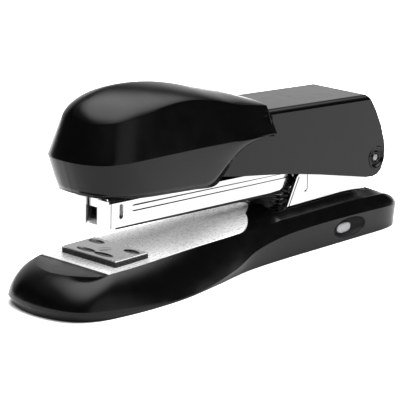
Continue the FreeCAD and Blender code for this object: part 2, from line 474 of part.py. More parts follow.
# ---------------------------------------------------------------- grip cap
# feature curves of the near half, rear to front: bottom edge, belt crease, upper crease, ridge
CAP_LINES = [
    ((5.7, -14.4, 43.0), (5.7, -14.45, 43.3), (2.6, -12.7, 52.6), (2.2, 0, 54.0)),
    ((-1.8, -14.5, 42.7), (-3.0, -14.7, 43.7), (-4.5, -12.8, 53.9), (-5.0, 0, 56.4)),
    ((-8.4, -14.6, 41.6), (-12.0, -15.1, 44.1), (-11.5, -12.9, 55.3), (-12.0, 0, 58.4)),
    ((-13.9, -14.7, 38.8), (-20.0, -15.4, 44.4), (-19.0, -13.0, 57.5), (-19.5, 0, 60.5)),
    ((-18.0, -14.8, 35.2), (-28.0, -15.7, 44.8), (-27.0, -13.1, 59.4), (-27.5, 0, 62.8)),
    ((-23.4, -14.9, 31.3), (-37.0, -15.9, 45.1), (-35.5, -13.4, 60.4), (-35.5, 0, 64.6)),
    ((-33.0, -15.3, 32.0), (-46.0, -16.1, 45.4), (-44.0, -13.8, 60.2), (-43.0, 0, 65.7)),
    ((-43.9, -15.6, 32.9), (-54.3, -16.0, 45.55), (-51.6, -13.9, 59.2), (-49.5, 0, 66.2)),
    ((-52.6, -15.4, 33.5), (-61.1, -15.7, 45.65), (-58.2, -13.3, 58.3), (-54.0, 0, 66.2)),
    ((-60.2, -14.1, 34.0), (-66.4, -14.4, 45.7), (-62.8, -11.6, 57.8), (-57.0, 0, 65.9)),
    ((-65.4, -11.7, 34.4), (-70.1, -11.6, 45.75), (-66.3, -9.0, 57.6), (-59.7, 0, 65.4)),
    ((-68.6, -8.2, 34.8), (-72.5, -8.0, 45.85), (-68.9, -6.2, 57.8), (-62.0, 0, 64.8)),
    ((-70.3, -4.2, 35.2), (-73.8, -4.1, 45.95), (-70.2, -3.2, 58.0), (-63.5, 0, 64.3)),
    ((-70.8, 0, 35.3), (-74.2, 0, 46.0), (-70.7, 0, 58.1), (-64.3, 0, 64.0)),
]

def smooth_line(pts, n):
    """points along a Catmull-Rom curve, n per span"""
    out = []
    m = len(pts)
    for i in range(m - 1):
        p1, p2 = pts[i], pts[i + 1]
        p0 = pts[i - 1] if i else tuple(2 * a_ - b_ for a_, b_ in zip(p1, p2))
        p3 = pts[i + 2] if i + 2 < m else tuple(2 * b_ - a_ for a_, b_ in zip(p1, p2))
        for k in range(n):
            t = k / float(n)
            out.append(tuple(0.5 * (2 * q1 + (q2 - q0) * t + (2 * q0 - 5 * q1 + 4 * q2 - q3) * t * t + (3 * q1 - q0 - 3 * q2 + q3) * t ** 3)
                             for q0, q1, q2, q3 in zip(p0, p1, p2, p3)))
    out.append(tuple(pts[-1]))
    return out

def cap_grid(n=2):
    lines = [smooth_line([r[i] for r in CAP_LINES], n) for i in range(4)]
    rows = []
    for a_, b_, m, belly in ((0, 1, 3, 0.5), (1, 2, 4, 1.3), (2, 3, 6, 0.0)):
        for k in range(m + 1 if b_ == 3 else m):
            t = k / float(m)
            row = []
            last = len(lines[0]) - 1
            for j, (p, q) in enumerate(zip(lines[a_], lines[b_])):
                f, g = t, t
                if b_ == 3:
                    f = 0.62 * (1 - math.cos(t * math.pi / 2)) + 0.38 * t
                    g = 0.62 * math.sin(t * math.pi / 2) + 0.38 * t
                x = p[0] + (q[0] - p[0]) * f
                y = p[1] + (q[1] - p[1]) * f
                z = p[2] + (q[2] - p[2]) * g
                ridge, belt = lines[3][j], lines[1][j]
                ox, oy = belt[0] - ridge[0], belt[1] - ridge[1]
                r_ = math.hypot(ox, oy)
                w = math.sin(math.pi * t) * belly * (1.0 if j < last * 0.6 else 1.0 - 0.75 * (j - last * 0.6) / (last * 0.4))
                row.append((x + ox / r_ * w + SX, y + oy / r_ * w if j < last else 0.0, z))
            rows.append(row)
    return rows

def closed_from_rows(rows):
    """closed solid: strip of triangles on both sides, closed across the bottom and the rear"""
    faces = []

    def face(*pts):
        clean = []
        for p in pts:
            if not clean or (V(*p) - V(*clean[-1])).Length > 1e-6:
                clean.append(p)
        if len(clean) > 2 and (V(*clean[0]) - V(*clean[-1])).Length < 1e-6:
            clean.pop()
        if len(clean) < 3:
            return
        faces.append(Part.Face(Part.makePolygon([V(*p) for p in clean] + [V(*clean[0])])))

    def mir(p):
        return (p[0], -p[1], p[2])

    for r0, r1 in zip(rows, rows[1:]):
        for j in range(len(r0) - 1):
            a_, b_, c_, d_ = r0[j], r0[j + 1], r1[j + 1], r1[j]
            if j % 2:
                face(a_, b_, c_)
                face(a_, c_, d_)
                face(mir(a_), mir(c_), mir(b_))
                face(mir(a_), mir(d_), mir(c_))
            else:
                face(a_, b_, d_)
                face(b_, c_, d_)
                face(mir(a_), mir(d_), mir(b_))
                face(mir(b_), mir(d_), mir(c_))
    low = rows[0]
    for j in range(len(low) - 1):
        face(low[j], mir(low[j]), mir(low[j + 1]), low[j + 1])
    for r0, r1 in zip(rows, rows[1:]):
        face(r0[0], r1[0], mir(r1[0]), mir(r0[0]))
    shell = Part.makeShell(faces)
    shell.sewShape()
    if not shell.isClosed():
        raise RuntimeError("cap shell is open")
    solid = Part.makeSolid(shell)
    if solid.Volume < 0:
        solid.reverse()
    return solid

cap_outer = closed_from_rows(cap_grid(2))
if not cap_outer.isValid():
    raise RuntimeError("cap solid is not valid")
cap = cap_outer
# room for the channel, its top following the channel roof
for drop_, half_ in ((0.8, 13.25), (0.3, 12.92), (-0.1, 12.4)):
    room = sh([(-61.8, 20), (-61.8, 54.95 - drop_), (-59.5, 54.95 - drop_), (-46.0, 54.05 - drop_), (3.6, 50.95 - drop_), (60, 47.42 - drop_), (60, 20)])
    cap = cap.cut(prism_xz(room, -half_, half_))
# hollow above the roof, in two steps under the dome
cap = cap.cut(prism_xz(sh([(-55.0, 54.0), (-55.0, 57.2), (-46, 58.2), (-34.0, 58.0), (-20.0, 55.4), (-14.0, 53.9), (-14.0, 51.5)]), -10.2, 10.2))
cap = cap.cut(prism_xz(sh([(-53.0, 56.0), (-53.0, 61.0), (-46.0, 61.6), (-36.0, 60.8), (-28.0, 58.8), (-20.0, 56.6), (-20.0, 54.5), (-34.0, 57.0), (-46.0, 57.5)]), -5.5, 5.5))
# front pocket for the clamp and the driver
cap = cap.cut(prism_xz(sh([(-65.0, 20), (-65.0, 52.0), (-63.0, 56.4), (-55.0, 56.4), (-55.0, 20)]), -8.5, 8.5))
SCREWS_X = (-33.0, -8.0)
for x in SCREWS_X:
    z0_ = 50.9 + (3.6 - x) * 0.0625 + 0.25
    cap = cap.fuse(cyl(3.0, 60.0 - z0_ if x < -20 else 56.2 - z0_, (x + SX, 0, z0_)))
    cap = cap.cut(cyl(1.22, 8.5, (x + SX, 0, 48.0)))
sol = sorted(cap.Solids, key=lambda s_: -s_.Volume)
cap = sol[0]
keep("grip_cap", feature("grip_cap", cap))
scr = []
for x in SCREWS_X:
    zt_ = 50.9 + (3.6 - x) * 0.0625 - cw
    scr.append(cyl(1.2, 56.0 - zt_ if x < -20 else 2.9, (x + SX, 0, zt_ - 0.2)).fuse(cyl(2.4, 1.1, (x + SX, 0, zt_ - 1.3))).cut(cyl(0.9, 0.6, (x + SX, 0, zt_ - 1.35))))
keep("cap_screws", feature("cap_screws", Part.makeCompound(scr)))

# screw that holds the cap to the channel, from inside

# ---------------------------------------------------------------- release button, its spring
btn = oval(S("button_long"), S("button_high"), -13.9, -9.9, bx, bz)
btn = btn.fuse(oval(S("button_long") + 1.8, S("button_high") + 1.4, -11.9, -11.0, bx, bz))
keep("release_button", feature("release_button", btn.removeSplitter()))
# steel catch behind the button, under the bracket floor
cat = box(bx - 3.6, bx + 3.6, -10.9, 3.0, 6.4, 7.1).fuse(box(bx - 3.6, bx + 3.6, -10.9, -10.1, 4.9, 6.6))
btn = btn.cut(box(bx - 3.65, bx + 3.65, -10.9, -9.8, 4.85, 7.2))
NODES["release_button"].Shape = btn.removeSplitter()
keep("release_catch", feature("release_catch", cat.removeSplitter()))
bs = coil(1.1, 0.35, 6, 3.4)
keep("button_spring", feature("button_spring", bs, FreeCAD.Placement(V(bx, -9.7, bz), FreeCAD.Rotation(V(1, 0, 0), -90))))

# ---------------------------------------------------------------- check and write
doc.recompute()
os.makedirs("parts", exist_ok=True)
bad = []
for o in doc.Objects:
    st = getattr(o, "State", [])
    if "Invalid" in st or "Error" in st:
        bad.append("%s %s" % (o.Name, st))
for n, o in NODES.items():
    s_ = o.Shape
    if s_.isNull() or not s_.isValid():
        bad.append("%s shape null or not valid" % n)
if bad:
    raise RuntimeError("; ".join(bad))
for f in os.listdir("parts"):
    if f.endswith(".step"):
        os.remove(os.path.join("parts", f))
lo = [1e9] * 3; hi = [-1e9] * 3
for n, o in NODES.items():
    o.Shape.exportStep("parts/%s.step" % n)
    bb = o.Shape.BoundBox
    lo = [min(lo[0], bb.XMin), min(lo[1], bb.YMin), min(lo[2], bb.ZMin)]
    hi = [max(hi[0], bb.XMax), max(hi[1], bb.YMax), max(hi[2], bb.ZMax)]
    print("%-22s solids %d vol %9.2f  x %7.2f..%7.2f y %7.2f..%7.2f z %6.2f..%6.2f" % (n, len(o.Shape.Solids), o.Shape.Volume, bb.XMin, bb.XMax, bb.YMin, bb.YMax, bb.ZMin, bb.ZMax))
print("ALL", [round(v, 3) for v in lo], [round(v, 3) for v in hi])
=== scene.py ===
import bpy, bmesh, math, json
from mathutils import Vector, Matrix

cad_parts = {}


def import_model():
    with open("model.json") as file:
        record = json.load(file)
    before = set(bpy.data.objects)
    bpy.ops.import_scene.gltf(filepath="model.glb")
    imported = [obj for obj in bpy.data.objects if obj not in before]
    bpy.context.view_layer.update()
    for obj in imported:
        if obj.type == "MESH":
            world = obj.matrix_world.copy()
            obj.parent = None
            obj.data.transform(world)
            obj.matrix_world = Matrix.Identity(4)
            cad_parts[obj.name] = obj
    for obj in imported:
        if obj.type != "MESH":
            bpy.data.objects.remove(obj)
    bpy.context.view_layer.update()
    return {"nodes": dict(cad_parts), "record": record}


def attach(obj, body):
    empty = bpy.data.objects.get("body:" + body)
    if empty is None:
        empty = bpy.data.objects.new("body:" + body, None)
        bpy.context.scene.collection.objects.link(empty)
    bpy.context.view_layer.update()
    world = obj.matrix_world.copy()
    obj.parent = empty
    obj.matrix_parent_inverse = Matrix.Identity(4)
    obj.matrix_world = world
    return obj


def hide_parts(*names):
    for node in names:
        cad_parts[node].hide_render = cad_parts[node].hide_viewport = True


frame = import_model()
NODES = frame["nodes"]
SX = 8.0                      # drawing frame to row frame, mm
MM = 0.001
TILT = math.radians(2.25)
PIVOT = Vector((0.065, 0.0, 0.0255))
BODY_OF = {}
for body_name, members in frame["record"]["behaviour"]["bodies"].items():
    for member in members:
        BODY_OF[member] = body_name


def P(x, y, z):
    """drawing-frame millimetres to row-frame metres"""
    return Vector(((x + SX) * MM, y * MM, z * MM))


# ------------------------------------------------------------------ materials
def new_mat(name):
    m = bpy.data.materials.new(name)
    m.use_nodes = True
    nt = m.node_tree
    nt.nodes.clear()
    out = nt.nodes.new("ShaderNodeOutputMaterial")
    b = nt.nodes.new("ShaderNodeBsdfPrincipled")
    nt.links.new(b.outputs[0], out.inputs[0])
    return m, nt, b


def noise(nt, scale, detail=3.0, rough=0.55, stretch=None):
    tc = nt.nodes.new("ShaderNodeTexCoord")
    n = nt.nodes.new("ShaderNodeTexNoise")
    n.inputs["Scale"].default_value = scale
    n.inputs["Detail"].default_value = detail
    n.inputs["Roughness"].default_value = rough
    if stretch:
        mp = nt.nodes.new("ShaderNodeMapping")
        mp.inputs["Scale"].default_value = stretch
        nt.links.new(tc.outputs["Object"], mp.inputs[0])
        nt.links.new(mp.outputs[0], n.inputs[0])
    else:
        nt.links.new(tc.outputs["Object"], n.inputs[0])
    return n


def ramp(nt, src, stops):
    r = nt.nodes.new("ShaderNodeValToRGB")
    while len(r.color_ramp.elements) < len(stops):
        r.color_ramp.elements.new(0.5)
    for e, (p, c) in zip(r.color_ramp.elements, stops):
        e.position = p
        e.color = (c, c, c, 1) if not isinstance(c, tuple) else c + (1,)
    nt.links.new(src, r.inputs[0])
    return r


def bump(nt, b, src, strength, dist):
    bp = nt.nodes.new("ShaderNodeBump")
    bp.inputs["Strength"].default_value = strength
    bp.inputs["Distance"].default_value = dist
    nt.links.new(src, bp.inputs["Height"])
    nt.links.new(bp.outputs[0], b.inputs["Normal"])
    return bp


def plastic(name, base, r0, r1, grain_scale, grain_strength, grain_dist=0.00004):
    m, nt, b = new_mat(name)
    n1 = noise(nt, 55.0, 4.0)
    lo = tuple(c * 0.8 for c in base)
    hi = tuple(min(1.0, c * 1.25) for c in base)
    c = ramp(nt, n1.outputs[0], [(0.3, lo), (0.7, hi)])
    nt.links.new(c.outputs[0], b.inputs["Base Color"])
    n2 = noise(nt, 240.0, 5.0)
    rr = ramp(nt, n2.outputs[0], [(0.3, r0), (0.72, r1)])
    nt.links.new(rr.outputs[0], b.inputs["Roughness"])
    g = noise(nt, grain_scale, 2.0)
    bump(nt, b, g.outputs[0], grain_strength, grain_dist)
    b.inputs["IOR"].default_value = 1.38
    return m


def metal(name, base, r0, r1, stretch=(1, 1, 1), scale=900.0, bump_s=0.05, dirt=0.0, metallic=1.0):
    m, nt, b = new_mat(name)
    b.inputs["Metallic"].default_value = metallic
    n1 = noise(nt, 40.0, 4.0)
    lo = tuple(c * (0.93 - dirt) for c in base)
    c = ramp(nt, n1.outputs[0], [(0.32, lo), (0.66, base)])
    nt.links.new(c.outputs[0], b.inputs["Base Color"])
    n2 = noise(nt, scale, 3.0, 0.6, stretch)
    rr = ramp(nt, n2.outputs[0], [(0.3, r0), (0.7, r1)])
    nt.links.new(rr.outputs[0], b.inputs["Roughness"])
    bump(nt, b, n2.outputs[0], bump_s, 0.00002)
    return m


M = {}
M["plastic"] = plastic("moulded_black_plastic", (0.0030, 0.0030, 0.0033), 0.15, 0.22, 2600.0, 0.08)
M["base"] = plastic("base_black_plastic", (0.0030, 0.0030, 0.0033), 0.17, 0.25, 2300.0, 0.10)
M["paint"] = plastic("black_enamel_on_steel", (0.0030, 0.0030, 0.0033), 0.13, 0.20, 700.0, 0.05, 0.00003)
M["chrome"] = metal("bright_nickel_plate", (0.44, 0.44, 0.438), 0.12, 0.20, (1, 6, 6), 700.0, 0.05, 0.04)
M["plate"] = metal("nickel_plated_sheet", (0.93, 0.93, 0.925), 0.24, 0.34, (1, 8, 8), 500.0, 0.05, 0.01, 0.45)
M["dark"] = metal("blackened_steel", (0.10, 0.10, 0.105), 0.20, 0.32, (1, 1, 1), 900.0, 0.1)
M["satin"] = metal("satin_zinc_plate", (0.62, 0.62, 0.62), 0.28, 0.40, (1, 5, 5), 900.0, 0.10, 0.05)
M["blade"] = metal("hardened_blue_steel", (0.62, 0.63, 0.65), 0.22, 0.34, (6, 6, 1), 900.0, 0.15, 0.08)
# near-black painted shade: cutters carry it onto the cut faces of the slits, pressed lines and the button scoop,
# which are darkened as if in shadow
M["painted_shade"] = plastic("painted_shade_black", (0.004, 0.004, 0.0045), 0.5, 0.7, 900.0, 0.1)
M["shade"] = metal("shadowed_plating", (0.30, 0.30, 0.305), 0.3, 0.45, (1, 1, 1), 900.0, 0.1)
# darker steel for the pin ends than the pin's shaft
M["pin"] = metal("darker_pin_end", (0.22, 0.22, 0.225), 0.22, 0.36, (1, 1, 1), 900.0, 0.2)
M["button"] = metal("bead_blasted_button", (0.34, 0.34, 0.345), 0.42, 0.55, (1, 1, 1), 2200.0, 0.35)
M["groove"] = metal("groove_shadowed_steel", (0.16, 0.16, 0.165), 0.25, 0.4, (1, 1, 1), 900.0, 0.1)
M["wire"] = metal("drawn_spring_wire", (0.72, 0.72, 0.73), 0.18, 0.28, (1, 1, 1), 1500.0, 0.10, 0.05)
M["rubber"] = plastic("ribbed_black_rubber", (0.016, 0.016, 0.017), 0.62, 0.80, 1800.0, 0.35, 0.0001)
M["white"] = plastic("white_acetal", (0.78, 0.78, 0.76), 0.30, 0.42, 1500.0, 0.08)
M["hollow"] = plastic("inside_black_plastic", (0.008, 0.008, 0.009), 0.42, 0.6, 1400.0, 0.2)

NODE_MAT = {
    "anvil": "chrome", "anvil_spring_washer": "satin", "anvil_stud": "satin", "base_plate": "chrome",
    "base_screws": "satin", "base_shell": "base", "button_spring": "wire", "cap_screws": "satin",
    "driver_blade": "blade", "driver_clamp": "satin", "grip_cap": "plastic", "guide_rod": "satin",
    "handle_channel": "paint", "handle_spring": "wire", "hinge_bracket": "chrome", "hinge_eyelets": "chrome",
    "magazine_channel": "chrome", "magazine_heel": "chrome", "magazine_rivets": "satin", "magazine_washers": "satin",
    "pivot_pin": "chrome", "pivot_spacers": "satin", "pusher": "blade", "pusher_spring": "wire",
    "release_button": "satin", "release_catch": "satin", "return_spring": "wire", "rubber_sole": "rubber",
    "staple_rail": "chrome",
}


def use(obj, key):
    obj.data.materials.clear()
    obj.data.materials.append(M[key])


for name, obj in NODES.items():
    key = NODE_MAT.get(name, "satin")
    if len(obj.material_slots) == 0:
        obj.data.materials.append(M[key])
    for s in obj.material_slots:
        s.material = M[key]


# ------------------------------------------------------------------ mesh helpers
def link(name, bm, smooth=True):
    me = bpy.data.meshes.new(name)
    bmesh.ops.recalc_face_normals(bm, faces=bm.faces)
    bm.to_mesh(me)
    bm.free()
    for p in me.polygons:
        p.use_smooth = smooth
    o = bpy.data.objects.new(name, me)
    bpy.context.scene.collection.objects.link(o)
    return o


def apply_mods(o):
    dg = bpy.context.evaluated_depsgraph_get()
    dg.update()
    me = bpy.data.meshes.new_from_object(o.evaluated_get(dg), preserve_all_data_layers=True, depsgraph=dg)
    old = o.data
    o.modifiers.clear()
    o.data = me
    bpy.data.meshes.remove(old)
    return o


def dress(name, node, mat, bevel=0.12, seg=2, angle=35, body=None, dissolve=True, cutters=None):
    """new piece from a CAD node's shape: welded, cleaned, edges broken, smooth shaded"""
    src = NODES[node]
    me = src.data.copy()
    o = bpy.data.objects.new(name, me)
    bpy.context.scene.collection.objects.link(o)
    bm = bmesh.new()
    bm.from_mesh(me)
    bmesh.ops.remove_doubles(bm, verts=bm.verts, dist=2e-6)
    if dissolve:
        bmesh.ops.dissolve_limit(bm, angle_limit=math.radians(0.6), verts=bm.verts, edges=bm.edges)
    bm.to_mesh(me)
    bm.free()
    use(o, mat)
    if cutters:
        carve(o, *cutters())
        me = o.data
    for p in me.polygons:
        p.use_smooth = True
    if bevel > 0:
        md = o.modifiers.new("edge", "BEVEL")
        md.width = bevel * MM
        md.segments = seg
        md.limit_method = "ANGLE"
        md.angle_limit = math.radians(angle)
        md.use_clamp_overlap = True
        md.miter_outer = "MITER_ARC"
    wn = o.modifiers.new("wn", "WEIGHTED_NORMAL")
    wn.keep_sharp = True
    apply_mods(o)
    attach(o, body or BODY_OF[node])
    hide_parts(node)
    return o


def crom(pts, n):
    out = []
    m = len(pts)
    for i in range(m - 1):
        p1, p2 = pts[i], pts[i + 1]
        p0 = pts[i - 1] if i else tuple(2 * a - b for a, b in zip(p1, p2))
        p3 = pts[i + 2] if i + 2 < m else tuple(2 * b - a for a, b in zip(p1, p2))
        for k in range(n):
            t = k / float(n)
            out.append(tuple(0.5 * (2 * q1 + (q2 - q0) * t + (2 * q0 - 5 * q1 + 4 * q2 - q3) * t * t + (3 * q1 - q0 - 3 * q2 + q3) * t ** 3)
                             for q0, q1, q2, q3 in zip(p0, p1, p2, p3)))
    out.append(tuple(pts[-1]))
    return out


# ------------------------------------------------------------------ grip cap
CAP_LINES = [
    ((5.7, -14.4, 43.0), (5.7, -14.45, 43.3), (2.91, -12.4, 52.48), (2.2, 0, 54.0)),
    ((-1.8, -14.5, 42.7), (-3.0, -14.7, 43.7), (-3.99, -12.3, 53.7), (-5.0, 0, 56.4)),
    ((-8.4, -14.6, 41.6), (-12.0, -15.1, 44.1), (-10.79, -12.2, 55.02), (-12.0, 0, 58.4)),
    ((-13.9, -14.7, 38.8), (-20.0, -15.4, 44.4), (-18.08, -12.1, 57.15), (-19.5, 0, 60.5)),
    ((-18.0, -14.8, 35.2), (-28.0, -15.7, 44.8), (-25.98, -12.1, 59.01), (-27.5, 0, 62.8)),
    ((-23.4, -14.9, 31.3), (-37.0, -15.9, 45.1), (-34.48, -12.4, 60.01), (-35.5, 0, 64.6)),
    ((-33.0, -15.3, 32.0), (-46.0, -16.1, 45.4), (-42.98, -12.8, 59.81), (-43.0, 0, 65.7)),
    ((-43.9, -15.6, 32.9), (-54.3, -16.0, 45.55), (-50.68, -13.0, 58.85), (-49.5, 0, 66.2)),
    ((-52.6, -15.4, 33.5), (-61.1, -15.7, 45.65), (-57.59, -12.7, 58.06), (-54.0, 0, 66.2)),
    ((-60.2, -14.1, 34.0), (-66.4, -14.4, 45.7), (-62.6, -11.4, 57.72), (-57.0, 0, 65.9)),
    ((-65.4, -11.7, 34.4), (-70.1, -11.6, 45.75), (-66.3, -9.0, 57.6), (-59.7, 0, 65.4)),
    ((-68.6, -8.2, 34.8), (-72.5, -8.0, 45.85), (-68.9, -6.2, 57.8), (-62.0, 0, 64.8)),
    ((-70.3, -4.2, 35.2), (-73.8, -4.1, 45.95), (-70.2, -3.2, 58.0), (-63.5, 0, 64.3)),
    ((-70.8, 0, 35.3), (-74.2, 0, 46.0), (-70.7, 0, 58.1), (-64.3, 0, 64.0)),
]


def channel_top(x):
    return 50.9 + (3.6 - x) * 0.0625


def cap_piece():
    n = 6
    L = [crom([r[i] for r in CAP_LINES], n) for i in range(4)]
    cols = len(L[0])
    rows = []
    crease = []
    for a, b, m, belly in ((0, 1, 6, 0.3), (1, 2, 10, 0.0), (2, 3, 14, 0.0)):
        for k in range(m + 1 if b == 3 else m):
            t = k / float(m)
            if k == 0 and a > 0:
                crease.append(len(rows))
            row = []
            for j in range(cols):
                p, q = L[a][j], L[b][j]
                f = g = t
                if b == 3:
                    f = 0.62 * (1 - math.cos(t * math.pi / 2)) + 0.38 * t
                    g = 0.62 * math.sin(t * math.pi / 2) + 0.38 * t
                ridge, belt = L[3][j], L[1][j]
                ox, oy = belt[0] - ridge[0], belt[1] - ridge[1]
                r_ = math.hypot(ox, oy)
                w = math.sin(math.pi * t) * belly
                if j > cols * 0.6:
                    w *= 1.0 - 0.75 * (j - cols * 0.6) / (cols * 0.4)
                x = p[0] + (q[0] - p[0]) * f + ox / r_ * w
                y = p[1] + (q[1] - p[1]) * f + oy / r_ * w
                z = p[2] + (q[2] - p[2]) * g
                row.append((x, 0.0 if j == cols - 1 or (b == 3 and k == m) else y, z))
            rows.append(row)
    bm = bmesh.new()
    V = {}

    def vert(side, i, j):
        x, y, z = rows[i][j]
        if abs(y) < 1e-9:
            side = 1
        key = (side, i, j)
        if key not in V:
            V[key] = bm.verts.new(P(x, y if side == 1 else -y, z))
        return V[key]

    nr = len(rows)
    crease_edges = []
    for side in (1, -1):
        for i in range(nr - 1):
            for j in range(cols - 1):
                q = [vert(side, i, j), vert(side, i, j + 1), vert(side, i + 1, j + 1), vert(side, i + 1, j)]
                u = []
                for v in q:
                    if v not in u:
                        u.append(v)
                if len(u) > 2:
                    try:
                        bm.faces.new(u if side == 1 else u[::-1])
                    except ValueError:
                        pass
    # rear closing lip, drawn in to the channel's section
    lip = {}
    for side in (1, -1):
        for i in range(nr):
            x, y, z = rows[i][0]
            zt = channel_top(x) + 0.15
            yy = -13.3
            if z <= zt - 1.9:
                tgt = (x - 0.5, yy, z)
            else:
                t = (i - 12) / float(nr - 13) if i > 12 else 0.0
                t = max(0.0, min(1.0, t))
                tgt = (x - 0.5, yy * (1 - t) ** 0.6 if t < 1 else 0.0, zt - 1.7 * max(0.0, 1 - t * 5) ** 2)
            if abs(y) < 1e-9 and side == -1:
                lip[(side, i)] = lip[(1, i)]
            else:
                lip[(side, i)] = bm.verts.new(P(tgt[0], tgt[1] if side == 1 else -tgt[1], tgt[2]))
        for i in range(nr - 1):
            q = [vert(side, i, 0), vert(side, i + 1, 0), lip[(side, i + 1)], lip[(side, i)]]
            bm.faces.new(q if side == 1 else q[::-1])
    bm.verts.ensure_lookup_table()
    bmesh.ops.remove_doubles(bm, verts=bm.verts, dist=1e-7)
    wl = bm.edges.layers.float.new("bevel_weight_edge")
    def row_verts(i):
        return set(V[(s, i, j)] for s in (1, -1) for j in range(cols) if (s, i, j) in V and V[(s, i, j)].is_valid)
    for ci in crease:
        rv = row_verts(ci)
        for e in bm.edges:
            if e.verts[0] in rv and e.verts[1] in rv:
                e[wl] = 1.0
    col0 = set(V[(s, i, 0)] for s in (1, -1) for i in range(nr) if (s, i, 0) in V and V[(s, i, 0)].is_valid)
    for e in bm.edges:
        if e.verts[0] in col0 and e.verts[1] in col0:
            e[wl] = 1.0
    o = link("grip_cap_shell", bm)
    sd = o.modifiers.new("wall", "SOLIDIFY")
    sd.thickness = 1.15 * MM
    sd.offset = -1.0
    sd.use_even_offset = False
    sd.bevel_convex = 0.0
    sd.edge_crease_rim = 0.0
    bv = o.modifiers.new("soft", "BEVEL")
    bv.width = 0.45 * MM
    bv.segments = 3
    bv.limit_method = "WEIGHT"
    apply_mods(o)
    use(o, "plastic")
    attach(o, "handle")
    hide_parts("grip_cap")
    return o


cap_piece()

# ------------------------------------------------------------------ base shell
BASE_LINES = [  # bottom edge, widest line / flank crease, rim, bulge between the last two
    ((-87.0, 0, 0), (-88.4, 0, 3.0), (-80.5, 0, 12.2), 0.72),
    ((-86.5, -4.6, 0), (-88.0, -5.1, 3.0), (-79.7, -4.3, 12.2), 0.72),
    ((-85.2, -9.4, 0), (-86.9, -10.3, 3.0), (-78.0, -8.4, 12.2), 0.72),
    ((-83.2, -13.4, 0), (-84.8, -14.5, 2.8), (-76.0, -11.7, 12.2), 0.70),
    ((-80.2, -16.7, 0), (-81.2, -17.8, 2.5), (-73.6, -14.2, 12.25), 0.66),
    ((-75.6, -19.1, 0), (-76.0, -19.8, 2.1), (-70.2, -15.5, 12.4), 0.60),
    ((-69.0, -20.5, 0), (-69.1, -20.9, 1.5), (-65.5, -15.9, 12.5), 0.52),
    ((-60.0, -21.5, 0), (-60.0, -21.7, 1.0), (-58.0, -16.0, 12.6), 0.44),
    ((-51.0, -21.8, 0), (-51.0, -21.85, 0.7), (-50.0, -15.9, 12.75), 0.36),
    ((-42.0, -21.4, 0), (-42.0, -21.4, 0.5), (-41.0, -15.6, 12.9), 0.30),
    ((-33.0, -20.0, 0), (-32.0, -19.9, 0.6), (-31.0, -15.2, 13.0), 0.26),
    ((-24.0, -18.2, 0), (-22.5, -18.6, 1.7), (-21.0, -14.9, 13.0), 0.20),
    ((-16.0, -16.5, 0), (-14.0, -17.2, 3.2), (-11.0, -14.7, 13.0), 0.20),
    ((-9.0, -15.3, 0), (-6.0, -16.2, 6.0), (-2.0, -14.6, 13.0), 0.14),
    ((0.0, -14.7, 0), (3.0, -15.7, 7.6), (6.0, -14.6, 13.0), 0.10),
    ((12.0, -14.5, 0), (13.0, -15.5, 8.5), (14.0, -14.6, 13.0), 0.08),
    ((30.0, -14.7, 0), (30.0, -15.6, 8.8), (30.0, -14.7, 13.0), 0.08),
    ((50.0, -14.9, 0), (50.0, -15.7, 8.4), (50.0, -14.8, 12.9), 0.12),
    ((60.5, -14.8, 0), (60.8, -15.4, 7.9), (59.8, -14.2, 12.2), 0.30),
    ((66.5, -13.1, 0), (67.3, -13.5, 7.2), (65.0, -12.0, 10.9), 0.55),
    ((70.1, -9.4, 0), (71.2, -9.7, 6.6), (68.3, -8.4, 9.7), 0.65),
    ((71.5, -4.8, 0), (72.3, -4.9, 6.4), (69.6, -4.3, 9.2), 0.70),
    ((71.8, 0, 0), (72.48, 0, 6.4), (70.0, 0, 9.1), 0.70),
]


def lean(row):
    b_, f_, r_, w_ = row
    t = max(0.0, min(1.0, (r_[0] + 34.0) / 40.0))
    k = t * t * (3 - 2 * t)
    return (b_, f_, (r_[0], r_[1] * (1 - 0.042 * k), r_[2]), w_ * (1 - 0.85 * k * (1 - max(0.0, min(1.0, (r_[0] - 46.0) / 14.0)))))


BASE_LINES = [lean(r_) for r_ in BASE_LINES]


def smoothstep(a, b, v):
    t = max(0.0, min(1.0, (v - a) / (b - a)))
    return t * t * (3 - 2 * t)


def edge_z(x):
    return 12.45 + 0.55 * smoothstep(-62.0, -38.0, x) - 4.2 * smoothstep(55.0, 72.0, x)


def crown(x, y):
    """height of the deck and plate surface"""
    c = 0.05 + 3.75 * smoothstep(-50.0, -6.0, x) - 3.1 * smoothstep(44.0, 66.0, x)
    return edge_z(x) + c * max(0.0, 1 - (y / 15.4) ** 2)


def strip_solid(name, rows, bottom_z=None):
    """near-side rows, mirrored: rows run nose to tail and start and end on the middle plane"""
    bm = bmesh.new()
    V = {}
    cols = len(rows[0])

    def vert(side, i, j):
        x, y, z = rows[i][j]
        if abs(y) < 1e-6:
            side, y = 1, 0.0
        key = (side, i, j)
        if key not in V:
            V[key] = bm.verts.new(P(x, y if side == 1 else -y, z))
        return V[key]

    for side in (1, -1):
        for i in range(len(rows) - 1):
            for j in range(cols - 1):
                q = [vert(side, i, j), vert(side, i + 1, j), vert(side, i + 1, j + 1), vert(side, i, j + 1)]
                u = []
                for v in q:
                    if v not in u:
                        u.append(v)
                if len(u) > 2:
                    try:
                        bm.faces.new(u if side == 1 else u[::-1])
                    except ValueError:
                        pass
    loop = [vert(1, 0, j) for j in range(cols)] + [vert(-1, 0, j) for j in range(cols - 2, 0, -1)]
    bm.faces.new(loop[::-1])
    return bm, V, vert


def ellipse_cutter(name, cx, cz, rx, rz, y0, depth, mat):
    """scoop for the release button: a flattened half ellipsoid sunk into the near flank"""
    bm = bmesh.new()
    bmesh.ops.create_uvsphere(bm, u_segments=40, v_segments=20, radius=1.0)
    for v in bm.verts:
        x, y, z = v.co
        v.co = P(cx + x * rx + z * 0.0, y0 + y * depth, cz + z * rz)
    o = link(name, bm)
    o.data.materials.append(M[mat])
    return o


